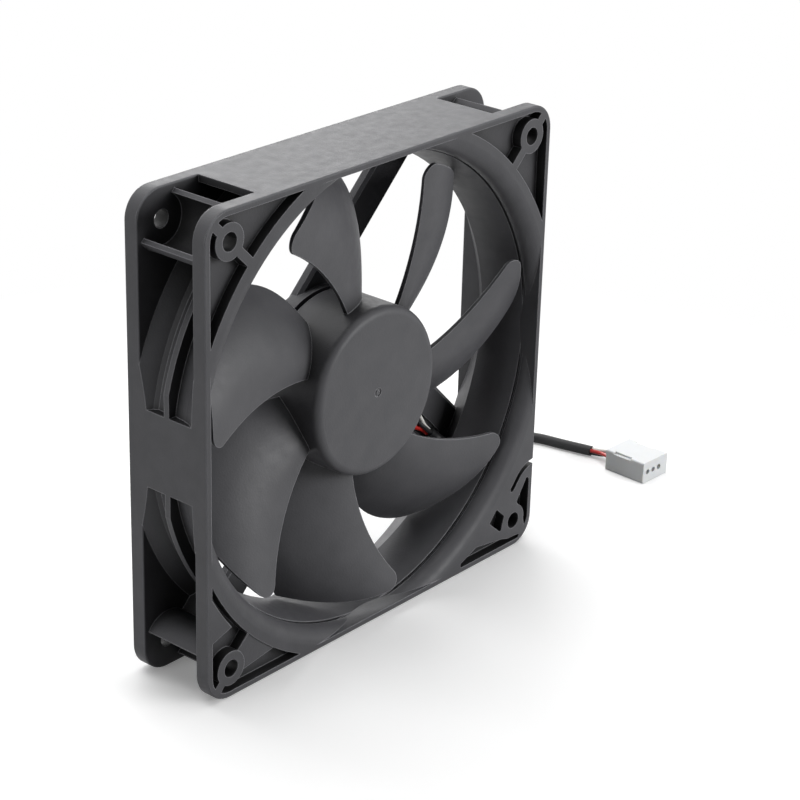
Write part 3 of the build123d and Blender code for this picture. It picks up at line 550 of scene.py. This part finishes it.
for number in range(POLES):
    coil = wound(f"winding_{number + 1}", windings, math.radians(-360 / POLES * number))
    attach(coil, "housing")
    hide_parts(f"coil_{number + 1}")
print("one coil has", len(coil.data.polygons), "faces")

# %% [markdown]
# ## Floor
# A white sheet is a product photographer's table. Where the camera looks at it, straight or in a
# reflection, it is white, and away from the fan it fades into a plain white glow, so that only the
# fan's own soft shadow is seen. For the light that it throws back on the fan it is grey, as a small
# sheet in a dark room is, so the hollows of the fan stay deep.

# %% White sheet
FADE_START = 95 * MM
FADE_END = 230 * MM
FLOOR_LIFT = 0.13  # a faint glow of the seen floor, which makes up for the low lamps
THROWN_BACK = "#8A8A8A"


def looked_at(tree):
    """1 for a ray that looks at the background, straight, in a reflection or through glass."""
    ray = add(tree, "ShaderNodeLightPath").outputs
    direct = add(tree, "ShaderNodeMath", {0: ray["Is Camera Ray"], 1: ray["Is Glossy Ray"]},
                 operation="MAXIMUM").outputs[0]
    return add(tree, "ShaderNodeMath", {0: direct, 1: ray["Is Transmission Ray"]},
               operation="MAXIMUM").outputs[0]


def white_sheet():
    material, tree, shader = new_finish("white_table", "#FFFFFF", Roughness=0.6, Specular_IOR_Level=0.1)
    place = add(tree, "ShaderNodeTexCoord").outputs["Object"]
    distance = add(tree, "ShaderNodeVectorMath", {0: place}, operation="LENGTH").outputs["Value"]
    away = add(tree, "ShaderNodeMapRange", {"Value": distance, "From Min": FADE_START, "From Max": FADE_END,
                                            "To Min": 0.0, "To Max": 1.0}).outputs["Result"]
    glow = add(tree, "ShaderNodeEmission").outputs["Emission"]
    faint = add(tree, "ShaderNodeEmission", {"Strength": FLOOR_LIFT}).outputs["Emission"]
    near = add(tree, "ShaderNodeAddShader", {0: shader.outputs["BSDF"], 1: faint}).outputs["Shader"]
    seen = add(tree, "ShaderNodeMixShader", {0: away, 1: near, 2: glow}).outputs["Shader"]
    thrown = add(tree, "ShaderNodeBsdfDiffuse", {"Color": hex_colour(THROWN_BACK)}).outputs["BSDF"]
    surface = add(tree, "ShaderNodeMixShader", {0: looked_at(tree), 1: thrown, 2: seen}).outputs["Shader"]
    tree.links.new(surface, tree.nodes["Material Output"].inputs["Surface"])
    return material


sheet = white_sheet()
print("sheet", sheet.name)

# %% Lay the floor
FLOOR_HALF = 6.0
floor_mesh = bpy.data.meshes.new("floor")
floor_corners = [(x * FLOOR_HALF, y * FLOOR_HALF, 0) for x, y in ((-1, -1), (1, -1), (1, 1), (-1, 1))]
floor_mesh.from_pydata(floor_corners, [], [(0, 1, 2, 3)])
floor_mesh.materials.append(sheet)
floor = bpy.data.objects.new("floor", floor_mesh)
bpy.context.scene.collection.objects.link(floor)
print("floor", floor.dimensions[:])

# %% [markdown]
# ## Sky and lamps
# The room is dark, and its backdrop is white only where it is looked at. Four wide, soft lamps light
# the fan: one overhead, one behind for the sheen along the top, one in front and one at the left.
# They are kept at a level where a colour renders about as it is written and white nylon stays
# short of pure white.

# %% Sky
WHITE = (1, 1, 1, 1)


def white_backdrop():
    world = bpy.data.worlds.new("studio")
    bpy.context.scene.world = world
    world.use_nodes = True
    tree = world.node_tree
    tree.nodes.clear()
    dark_room = add(tree, "ShaderNodeBackground", {"Color": WHITE, "Strength": 0.0}).outputs["Background"]
    backdrop = add(tree, "ShaderNodeBackground", {"Color": WHITE, "Strength": 1.0}).outputs["Background"]
    either = add(tree, "ShaderNodeMixShader", {0: looked_at(tree), 1: dark_room, 2: backdrop})
    add(tree, "ShaderNodeOutputWorld", {"Surface": either.outputs["Shader"]})


white_backdrop()
print("world", bpy.context.scene.world.name)


# %% Lamps
def lamp(name, place_mm, size_mm, watts, target_mm=(0, 0, 60)):
    """A rectangular soft lamp that faces the middle of the fan."""
    data = bpy.data.lights.new(name, "AREA")
    data.shape = "RECTANGLE"
    data.size, data.size_y = (value * MM for value in size_mm)
    data.energy = watts
    light = bpy.data.objects.new(name, data)
    place = Vector(place_mm) * MM
    light.location = place
    light.rotation_euler = (Vector(target_mm) * MM - place).to_track_quat("-Z", "Y").to_euler()
    bpy.context.scene.collection.objects.link(light)


lamp("overhead_softbox", (60, 120, 900), (900, 700), 6.3)
lamp("back_softbox", (350, 900, 420), (1200, 500), 8.6)
lamp("front_softbox", (400, -820, 270), (500, 300), 6.4)
lamp("left_softbox", (-900, 100, 300), (600, 600), 3.0)
print("lamps", [light.name for light in bpy.data.lights])

# %% [markdown]
# The render shows colours through the plain Standard view transform.

# %% View transform
bpy.context.scene.view_settings.view_transform = "Standard"
